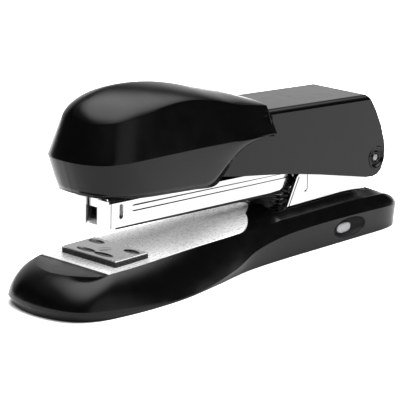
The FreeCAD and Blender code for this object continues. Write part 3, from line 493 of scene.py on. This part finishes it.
def box_cutter(name, x0, x1, y0, y1, z0, z1, mat):
    bm = bmesh.new()
    vs = [bm.verts.new(P(x, y, z)) for x in (x0, x1) for y in (y0, y1) for z in (z0, z1)]
    for f in ((0, 1, 3, 2), (4, 6, 7, 5), (0, 4, 5, 1), (2, 3, 7, 6), (0, 2, 6, 4), (1, 5, 7, 3)):
        bm.faces.new([vs[i] for i in f])
    o = link(name, bm, smooth=False)
    o.data.materials.append(M[mat])
    return o


def carve(o, *cutters):
    for c in cutters:
        md = o.modifiers.new("cut", "BOOLEAN")
        md.operation = "DIFFERENCE"
        md.solver = "EXACT"
        md.object = c
        md.material_mode = "TRANSFER"
    apply_mods(o)
    for c in cutters:
        me = c.data
        bpy.data.objects.remove(c)
        bpy.data.meshes.remove(me)
    return o


def finish_shape(o, bevel, angle=30, seg=3, weight=False):
    if bevel > 0:
        md = o.modifiers.new("edge", "BEVEL")
        md.width = bevel * MM
        md.segments = seg
        md.limit_method = "WEIGHT" if weight else "ANGLE"
        md.angle_limit = math.radians(angle)
        md.use_clamp_overlap = True
        md.miter_outer = "MITER_ARC"
    wn = o.modifiers.new("wn", "WEIGHTED_NORMAL")
    wn.keep_sharp = True
    apply_mods(o)
    for p in o.data.polygons:
        p.use_smooth = True


def base_piece():
    n = 4
    L = [crom([r[i] for r in BASE_LINES], n) for i in range(3)]
    W = [w[0] for w in crom([(r[3],) for r in BASE_LINES], n)]
    cols = len(W)
    rows = []
    mid = lambda p, q, t: tuple(a + (b - a) * t for a, b in zip(p, q))
    # inside bottom, bottom rim
    inset = []
    for j in range(cols):
        x, y, z = L[0][j]
        cx = max(-70.0, min(58.0, x))
        r_ = math.hypot(x - cx, y) or 1.0
        k = (r_ - 1.3) / r_
        inset.append((cx + (x - cx) * k, y * k, 1.45))
    rows.append([(x, y, 1.45) for x, y, z in inset])
    rows.append([(x, y, 0.0) for x, y, z in inset])
    rows.append([L[0][j] for j in range(cols)])
    for k in range(1, 4):
        rows.append([mid(L[0][j], L[1][j], k / 3.0) for j in range(cols)])
    crease_f = len(rows) - 1
    m = 12
    for k in range(1, m + 1):
        t = k / float(m)
        row = []
        for j in range(cols):
            p, q, w = L[1][j], L[2][j], W[j]
            f = w * (1 - math.cos(t * math.pi / 2)) + (1 - w) * t
            g = w * math.sin(t * math.pi / 2) + (1 - w) * t
            row.append((p[0] + (q[0] - p[0]) * f, p[1] + (q[1] - p[1]) * f, p[2] + (q[2] - p[2]) * g))
        rows.append(row)
    crease_r = len(rows) - 1
    # top: lip in front of the plate, the plate's seat, then the deck to the middle
    ra, rb = [], []
    for j in range(cols):
        x, y, z = L[2][j]
        r_ = abs(y) or 1.0
        if x < -70.4:
            ra.append((-70.4, y, 12.42))
            rb.append((-70.3, y, 11.7))
        elif x < 6.5:
            k = (r_ - 0.25) / r_
            ra.append((x, y * k, z - 0.02))
            rb.append((x, y * (r_ - 0.3) / r_, z - 0.8))
        else:
            k = (r_ - 0.25) / r_
            ra.append((x, y * k, z + 0.01))
            rb.append((x, y * (r_ - 0.6) / r_, min(z + 0.05, crown(x, y * (r_ - 0.6) / r_))))
    rows.append(ra)
    rows.append(rb)
    for t in (0.2, 0.4, 0.6, 0.8, 1.0):
        row = []
        for j in range(cols):
            x, y, z = rb[j]
            cx = max(-69.5, min(62.0, x))
            px, py = x + (cx - x) * t, y * (1 - t)
            if abs(py) < 1e-6:
                py = 0.0
            zz = crown(px, py)
            if px < 1.0:
                zz -= 1.0
            elif px < 7.0:
                zz -= 0.6
            row.append((px, py, zz))
        rows.append(row)
    bm, V, vert = strip_solid("base", rows)
    wl = bm.edges.layers.float.new("bevel_weight_edge")
    for ci, wgt in ((crease_f, 1.0), (crease_r, 0.55), (2, 0.5)):
        rv = set(vert(s_, ci, j) for s_ in (1, -1) for j in range(cols))
        for e_ in bm.edges:
            if e_.verts[0] in rv and e_.verts[1] in rv:
                xm = (e_.verts[0].co.x + e_.verts[1].co.x) / 2 / MM - SX
                e_[wl] = wgt if ci != crease_f or xm > -50 else 0.0
    o = link("base_moulding", bm)
    use(o, "base")
    md = o.modifiers.new("edge", "BEVEL")
    md.width = 0.5 * MM
    md.segments = 3
    md.limit_method = "WEIGHT"
    apply_mods(o)
    # the scoop's cut faces take the near-black painted shade of its cutter
    scoop = ellipse_cutter("scoop", 41.2, 4.5, 8.4, 3.7, -16.3, 3.4, "painted_shade")
    hole = box_cutter("hole", 35.4, 44.6, -15.0, -8.0, 1.6, 7.2, "hollow")
    trough = box_cutter("trough", 9.5, 61.0, -10.2, 10.2, 12.3, 20.0, "hollow")
    carve(o, scoop, trough)
    wn = o.modifiers.new("wn", "WEIGHTED_NORMAL")
    apply_mods(o)
    for p in o.data.polygons:
        p.use_smooth = True
    me = hole.data
    bpy.data.objects.remove(hole)
    bpy.data.meshes.remove(me)
    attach(o, "base")
    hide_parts("base_shell")
    return o


base_piece()


# ------------------------------------------------------------------ base plate
PLATE_HALF = [(-70.2, 15.3), (-66.0, 15.6), (-58.0, 15.75), (-50.0, 15.65), (-41.0, 15.35), (-31.0, 14.95), (-21.0, 14.6), (-14.0, 14.35), (-10.6, 14.1),
              (-8.6, 13.6), (-7.0, 12.9), (-5.2, 11.8), (-3.7, 10.5), (-1.9, 8.5), (-0.4, 6.3), (2.4, 4.3), (4.8, 2.6), (6.3, 1.2), (6.8, 0.0)]


def plate_piece():
    half = crom(PLATE_HALF, 4)
    half = [(x, max(0.0, w)) for x, w in half]
    bm = bmesh.new()
    nx = len(half)
    m = 10
    top, low = [], []
    for x, w in half:
        rt, rl = [], []
        for k in range(-m, m + 1):
            y = w * k / float(m)
            z = crown(x, y) + 0.12
            # edges rolled down a little
            # fraction across the half width, not used: the edges are not rolled down
            edge = abs(k) / float(m)
            rt.append(bm.verts.new(P(x, y, z)))
            rl.append(bm.verts.new(P(x, y, z - 0.85)))
            if w < 1e-6:
                break
        top.append(rt)
        low.append(rl)
    def quad(*v):
        u = []
        for q in v:
            if q not in u:
                u.append(q)
        if len(u) > 2:
            bm.faces.new(u)
    for i in range(nx - 1):
        for k in range(2 * m):
            a_, b_ = top[i], top[i + 1]
            c_, d_ = low[i], low[i + 1]
            g = lambda r, kk: r[kk] if len(r) > 1 else r[0]
            quad(g(a_, k), g(b_, k), g(b_, k + 1), g(a_, k + 1))
            quad(g(c_, k + 1), g(d_, k + 1), g(d_, k), g(c_, k))
        quad(a_[0], c_[0], g(d_, 0), g(b_, 0))
        quad(g(b_, 2 * m), g(d_, 2 * m), c_[-1], a_[-1])
    for k in range(2 * m):
        quad(top[0][k], top[0][k + 1], low[0][k + 1], low[0][k])
    bmesh.ops.remove_doubles(bm, verts=bm.verts, dist=1e-7)
    o = link("base_plate_sheet", bm)
    use(o, "plate")
    finish_shape(o, 0.16, 40, 2)
    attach(o, "base")
    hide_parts("base_plate")
    return o


plate_piece()

# ------------------------------------------------------------------ anvil
def ellipsoid_cutter(name, c, r, mat):
    bm = bmesh.new()
    bmesh.ops.create_uvsphere(bm, u_segments=32, v_segments=16, radius=1.0)
    for v in bm.verts:
        x, y, z = v.co
        v.co = P(c[0] + x * r[0], c[1] + y * r[1], c[2] + z * r[2])
    o = link(name, bm)
    o.data.materials.append(M[mat])
    return o


def ring_prism(name, outline, levels, mat):
    """solid with a ribbed side: outline in x,y; levels are (z, inset)"""
    bm = bmesh.new()
    cx = sum(p[0] for p in outline) / len(outline)
    cy = sum(p[1] for p in outline) / len(outline)
    rings = []
    for z, ins in levels:
        ring = []
        for x, y in outline:
            r_ = math.hypot(x - cx, y - cy)
            ring.append(bm.verts.new(P(x - (x - cx) / r_ * ins, y - (y - cy) / r_ * ins, z)))
        rings.append(ring)
    n = len(outline)
    for a_, b_ in zip(rings, rings[1:]):
        for i in range(n):
            bm.faces.new((a_[i], a_[(i + 1) % n], b_[(i + 1) % n], b_[i]))
    bm.faces.new(rings[0][::-1])
    bm.faces.new(rings[-1])
    o = link(name, bm, smooth=False)
    o.data.materials.append(M[mat])
    return o


def rounded_rect(x0, x1, y0, y1, r, k=5):
    pts = []
    for cx, cy, a0 in ((x1 - r, y1 - r, 0), (x0 + r, y1 - r, 90), (x0 + r, y0 + r, 180), (x1 - r, y0 + r, 270)):
        for i in range(k + 1):
            t = math.radians(a0 + 90.0 * i / k)
            pts.append((cx + r * math.cos(t), cy + r * math.sin(t)))
    return pts


def anvil_piece():
    out = rounded_rect(-64.3, -50.2, -12.3, 12.3, 0.35)
    lv = [(12.3, 0.12), (12.42, 0.0)]
    z = 12.5
    while z < 14.05:
        lv += [(z, 0.0), (z + 0.09, 0.16), (z + 0.2, 0.14), (z + 0.29, 0.0)]
        z += 0.42
    lv += [(14.28, 0.0), (14.31, 0.1)]
    body = ring_prism("anvil_body", out, lv, "dark")
    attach(body, "anvil_turn")
    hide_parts("anvil")
    top = ring_prism("anvil_face", out, [(14.30, 0.06), (14.34, 0.0), (14.57, 0.0), (14.60, 0.03)], "chrome")
    cuts = [ellipsoid_cutter("g1", (-61.5, -3.9, 14.72), (1.5, 4.2, 0.66), "groove"),
            ellipsoid_cutter("g2", (-61.5, 3.9, 14.72), (1.5, 4.2, 0.66), "groove"),
            ellipsoid_cutter("g3", (-53.3, -8.0, 14.72), (1.65, 3.4, 0.66), "groove"),
            ellipsoid_cutter("g4", (-53.3, 8.0, 14.72), (1.65, 3.4, 0.66), "groove")]
    carve(top, *cuts)
    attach(top, "anvil_turn")
    # stud head: a low dome in a fine ring
    bm = bmesh.new()
    n = 40
    prof = [(2.0, 14.55), (2.0, 14.64), (1.85, 14.66), (1.75, 14.60), (1.65, 14.62), (1.2, 14.70), (0.6, 14.74), (0.0, 14.75)]
    rings = []
    for r_, z_ in prof[:-1]:
        rings.append([bm.verts.new(P(-57.2 + r_ * math.cos(2 * math.pi * i / n), r_ * math.sin(2 * math.pi * i / n), z_)) for i in range(n)])
    tip = bm.verts.new(P(-57.2, 0, prof[-1][1]))
    for a_, b_ in zip(rings, rings[1:]):
        for i in range(n):
            bm.faces.new((a_[i], a_[(i + 1) % n], b_[(i + 1) % n], b_[i]))
    for i in range(n):
        bm.faces.new((rings[-1][i], rings[-1][(i + 1) % n], tip))
    o = link("anvil_stud_head", bm)
    use(o, "satin")
    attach(o, "anvil_turn")


anvil_piece()

# ------------------------------------------------------------------ pressed lines
def poly_cutter(name, pts, y0, y1, mat):
    """prism through y from a polygon in x,z"""
    bm = bmesh.new()
    a_ = [bm.verts.new(P(x, y0, z)) for x, z in pts]
    b_ = [bm.verts.new(P(x, y1, z)) for x, z in pts]
    n = len(pts)
    bm.faces.new(a_)
    bm.faces.new(b_[::-1])
    for i in range(n):
        bm.faces.new((a_[i], b_[i], b_[(i + 1) % n], a_[(i + 1) % n]))
    o = link(name, bm, smooth=False)
    o.data.materials.append(M[mat])
    return o


def line_cutter(name, p, q, w, y0, y1, mat):
    dx, dz = q[0] - p[0], q[1] - p[1]
    L_ = math.hypot(dx, dz)
    nx_, nz_ = -dz / L_ * w / 2, dx / L_ * w / 2
    return poly_cutter(name, [(p[0] + nx_, p[1] + nz_), (q[0] + nx_, q[1] + nz_), (q[0] - nx_, q[1] - nz_), (p[0] - nx_, p[1] - nz_)], y0, y1, mat)


def groove_outline():
    out = [(15.1, 26.42), (-51.2, 29.32)]
    c, r = (-51.3, 28.2), 1.12
    for i in range(1, 8):
        t = math.radians(90 + 180 * i / 8.0)
        out.append((c[0] + r * math.cos(t), c[1] + r * math.sin(t)))
    out += [(-51.2, 27.1), (19.0, 24.53), (19.0, 24.78), (-51.1, 27.37)]
    r = 0.62
    c = (-51.2, 28.0)
    for i in range(7, 0, -1):
        t = math.radians(90 + 180 * i / 8.0)
        out.append((c[0] + r * math.cos(t), c[1] + r * math.sin(t)))
    out += [(-51.1, 28.55), (15.1, 25.65)]
    return out


def magazine_cutters():
    cs = []
    for s_ in (-1, 1):
        y0, y1 = sorted((s_ * 7.9, s_ * 6.85))
        # cut faces of the long slit and the low line get near-black painted shade, and the front line gets the grey
        # painted shade of "shade"
        cs.append(poly_cutter("m_groove", groove_outline(), y0, y1, "painted_shade"))
        y0, y1 = sorted((s_ * 7.9, s_ * 6.95))
        cs.append(poly_cutter("m_low", [(-59.4, 23.3), (10.3, 20.85), (15.2, 21.0), (17.6, 22.0), (20.0, 24.2), (22.0, 24.0), (19.0, 20.6), (15.9, 19.4), (10.3, 19.2), (-59.4, 21.7)], y0, y1, "painted_shade"))
        y0, y1 = sorted((s_ * 7.9, s_ * 7.08))
        cs.append(line_cutter("m_front", (-61.35, 23.4), (-61.1, 31.5), 0.28, y0, y1, "shade"))
    return cs


def bracket_cutters():
    cs = []
    for s_ in (-1, 1):
        y0, y1 = sorted((s_ * 10.4, s_ * 9.25))
        # cut faces of the edge, hook and foot lines get near-black painted shade, and the J stroke gets the grey
        # painted shade of "shade"
        cs.append(line_cutter("b_edge", (16.0, 13.2), (22.1, 24.6), 0.34, y0, y1, "painted_shade"))
        cs.append(line_cutter("b_j1", (26.2, 24.8), (26.2, 19.9), 0.26, y0, y1, "shade"))
        cs.append(line_cutter("b_j2", (26.2, 20.0), (25.6, 19.2), 0.26, y0, y1, "shade"))
        cs.append(line_cutter("b_j3", (25.7, 19.2), (24.9, 19.2), 0.5, y0, y1, "painted_shade"))
        cs.append(line_cutter("b_foot", (17.0, 14.75), (49.0, 14.95), 0.35, y0, y1, "painted_shade"))
    return cs


# ------------------------------------------------------------------ turned and moulded small pieces
def lathe_y(name, cx, cz, prof, mat, side, n=48, sx=1.0, sz=1.0):
    """profile of (radius, y) turned about a line along y"""
    bm = bmesh.new()
    rings = []
    for r_, y_ in prof:
        if r_ < 1e-6:
            rings.append([bm.verts.new(P(cx, side * y_, cz))])
        else:
            rings.append([bm.verts.new(P(cx + r_ * sx * math.cos(2 * math.pi * i / n), side * y_, cz + r_ * sz * math.sin(2 * math.pi * i / n))) for i in range(n)])
    for a_, b_ in zip(rings, rings[1:]):
        for i in range(n):
            if len(a_) == 1 and len(b_) == 1:
                continue
            if len(a_) == 1:
                bm.faces.new((a_[0], b_[(i + 1) % n], b_[i]))
            elif len(b_) == 1:
                bm.faces.new((a_[i], a_[(i + 1) % n], b_[0]))
            else:
                bm.faces.new((a_[i], a_[(i + 1) % n], b_[(i + 1) % n], b_[i]))
    o = link(name, bm)
    use(o, mat)
    return o


def pivot_pieces():
    pxr, pzr = 57.0, 25.5
    eye, pins = [], []
    for s_ in (-1, 1):
        prof = [(1.25, 12.1), (4.0, 12.1), (4.0, 13.2), (3.92, 13.36), (3.75, 13.44), (3.5, 13.42), (3.25, 13.22), (2.95, 12.8), (2.5, 12.6), (2.2, 12.62), (2.05, 12.8), (1.95, 13.02), (1.8, 13.12), (1.6, 13.1), (1.42, 12.95), (1.3, 12.7), (1.25, 12.1)]
        o = lathe_y("pivot_eyelet_%s" % ("near" if s_ < 0 else "far"), pxr, pzr, prof, "paint", s_)
        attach(o, "handle")
        eye.append(o)
        prof = [(0.0, 9.0), (1.98, 9.0), (1.98, 11.9), (1.2, 12.0), (1.2, 12.72), (1.1, 12.82), (0.85, 12.78), (0.5, 12.86), (0.0, 12.9)]
        o = lathe_y("pivot_pin_end_%s" % ("near" if s_ < 0 else "far"), pxr, pzr, prof, "pin", s_)
        pins.append(o)
    for o in eye:
        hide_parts("hinge_eyelets")
    shaft = lathe_y("pivot_pin_shaft", pxr, pzr, [(0.0, -9.1), (1.98, -9.1), (1.98, -3.0), (1.95, 0.0), (1.98, 3.0), (1.98, 9.1), (0.0, 9.1)], "satin", 1)
    for o in pins + [shaft]:
        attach(o, BODY_OF["pivot_pin"])
        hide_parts("pivot_pin")


pivot_pieces()


def button_piece():
    prof = [(0.0, 10.0), (1.05, 10.0), (1.05, 10.6), (1.0, 10.65), (1.0, 13.6), (0.98, 13.82), (0.93, 13.95), (0.82, 14.03), (0.5, 14.08), (0.0, 14.10)]
    o = lathe_y("button_face", 40.0, 4.4, prof, "button", -1, 64, 3.5, 1.85)
    # squarer ends than an ellipse
    for v in o.data.vertices:
        x = v.co.x / MM - SX - 40.0
        z = v.co.z / MM - 4.4
        r_ = math.hypot(x / 3.5, z / 1.85)
        if r_ > 1e-6:
            t = math.atan2(z / 1.85, x / 3.5)
            k = (abs(math.cos(t)) ** 2.6 + abs(math.sin(t)) ** 2.6) ** (-1 / 2.6)
            v.co.x = (40.0 + SX + x * k) * MM
            v.co.z = (4.4 + z * k) * MM
    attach(o, "button")
    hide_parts("release_button")


button_piece()

# ------------------------------------------------------------------ pieces taken from the frame's shapes
for node, mat, bev in (
    ("hinge_bracket", "chrome", 0.2), ("handle_channel", "paint", 0.2),
    ("magazine_channel", "chrome", 0.12), ("magazine_heel", "chrome", 0.12), ("staple_rail", "chrome", 0.1), ("pusher", "blade", 0.12),
    ("driver_blade", "blade", 0.08), ("driver_clamp", "satin", 0.12), 
    ("pivot_spacers", "satin", 0.15), ("magazine_washers", "satin", 0.12), ("magazine_rivets", "satin", 0.12),
    ("base_screws", "satin", 0.12), ("cap_screws", "satin", 0.1), ("rubber_sole", "rubber", 0.2),
):
    dress("v_" + node, node, mat, bev, cutters={"magazine_channel": magazine_cutters, "hinge_bracket": bracket_cutters}.get(node))

# ------------------------------------------------------------------ stage
def stage_floor():
    me = bpy.data.meshes.new("floor")
    s, k = 1.35, 96
    me.from_pydata([(s * math.cos(2 * math.pi * i / k), s * math.sin(2 * math.pi * i / k), 0) for i in range(k)], [], [tuple(range(k))])
    o = bpy.data.objects.new("floor", me)
    bpy.context.scene.collection.objects.link(o)
    o.location = (0, 0, -0.0001)
    m, nt, b = new_mat("pale_paper_floor")
    n = noise(nt, 6.0, 2.0)
    c = ramp(nt, n.outputs[0], [(0.3, 0.94), (0.7, 0.96)])
    nt.links.new(c.outputs[0], b.inputs["Base Color"])
    b.inputs["Roughness"].default_value = 0.9
    b.inputs["Specular IOR Level"].default_value = 0.0
    me.materials.append(m)
    return o


stage_floor()


BACKDROP, GAP, OVERHEAD, STRIP = 1.0, 0.34, 6.3, 1.1


def world():
    w = bpy.data.worlds.new("studio")
    bpy.context.scene.world = w
    w.use_nodes = True
    nt = w.node_tree
    nt.nodes.clear()
    out = nt.nodes.new("ShaderNodeOutputWorld")
    mix = nt.nodes.new("ShaderNodeMixShader")
    lp = nt.nodes.new("ShaderNodeLightPath")
    white = nt.nodes.new("ShaderNodeBackground")
    white.inputs[0].default_value = (1, 1, 1, 1)
    white.inputs[1].default_value = 1.0
    env = nt.nodes.new("ShaderNodeBackground")
    nt.links.new(lp.outputs["Is Camera Ray"], mix.inputs[0])
    nt.links.new(env.outputs[0], mix.inputs[1])
    nt.links.new(white.outputs[0], mix.inputs[2])
    nt.links.new(mix.outputs[0], out.inputs[0])
    tc = nt.nodes.new("ShaderNodeTexCoord")

    def math_(op, a, b=None, c=None, clamp=False):
        n = nt.nodes.new("ShaderNodeMath")
        n.operation = op
        n.use_clamp = clamp
        for i, v in enumerate((a, b, c)):
            if v is None:
                continue
            if isinstance(v, (int, float)):
                n.inputs[i].default_value = v
            else:
                nt.links.new(v, n.inputs[i])
        return n.outputs[0]

    def dot(vec):
        n = nt.nodes.new("ShaderNodeVectorMath")
        n.operation = "DOT_PRODUCT"
        nt.links.new(tc.outputs["Generated"], n.inputs[0])
        n.inputs[1].default_value = vec
        return n.outputs["Value"]

    def smooth(v, a, b):
        n = nt.nodes.new("ShaderNodeMapRange")
        n.interpolation_type = "SMOOTHSTEP"
        nt.links.new(v, n.inputs["Value"])
        n.inputs["From Min"].default_value = a
        n.inputs["From Max"].default_value = b
        return n.outputs["Result"]

    z = dot((0, 0, 1))
    back_ = math_("SUBTRACT", 1.0, smooth(z, 0.24, 0.60))     # backdrop fades upwards
    top = smooth(dot((0.12, -0.22, 0.968)), 0.53, 0.99)       # overhead softbox
    front = dot((-0.65, -0.76, 0.0))                  # the camera's side of the room
    dark = math_("MULTIPLY", smooth(front, -0.80, -0.58), math_("SUBTRACT", 1.0, smooth(z, 0.42, 0.66)))
    base = math_("MULTIPLY_ADD", back_, BACKDROP - GAP, GAP)
    base = math_("MULTIPLY_ADD", top, OVERHEAD - GAP, base)
    lit = math_("MULTIPLY", base, math_("SUBTRACT", 1.0, math_("MULTIPLY", dark, 0.99)))
    # broad dim panel to the left of the camera
    az = dot((0.19, -0.982, 0.0))
    strip = math_("MULTIPLY", smooth(az, 0.86, 0.94), math_("SUBTRACT", 1.0, smooth(z, 0.30, 0.45)))
    total = math_("MULTIPLY_ADD", strip, STRIP, lit)
    nt.links.new(total, env.inputs[1])
    env.inputs[0].default_value = (1.0, 1.0, 1.0, 1)


world()

cam_d = bpy.data.cameras.new("cam")
cam_d.sensor_width = 36.0
cam_d.sensor_fit = "HORIZONTAL"
cam_d.lens = 2355.0 / 400.0 * 36.0
cam_d.clip_start = 0.02
cam_d.clip_end = 20.0
cam = bpy.data.objects.new("cam", cam_d)
bpy.context.scene.collection.objects.link(cam)
a, e = math.radians(-45.5), math.radians(15.45)
back = Vector((math.sin(a) * math.cos(e), -math.cos(a) * math.cos(e), math.sin(e)))
right = Vector((math.cos(a), math.sin(a), 0.0))
up = back.cross(right)
cam.matrix_world = Matrix(((right.x, up.x, back.x, -0.529314), (right.y, up.y, back.y, -0.513281), (right.z, up.z, back.z, 0.224520), (0, 0, 0, 1)))
bpy.context.scene.camera = cam
bpy.context.scene.view_settings.view_transform = "Standard"
bpy.context.scene.view_settings.gamma = 0.78
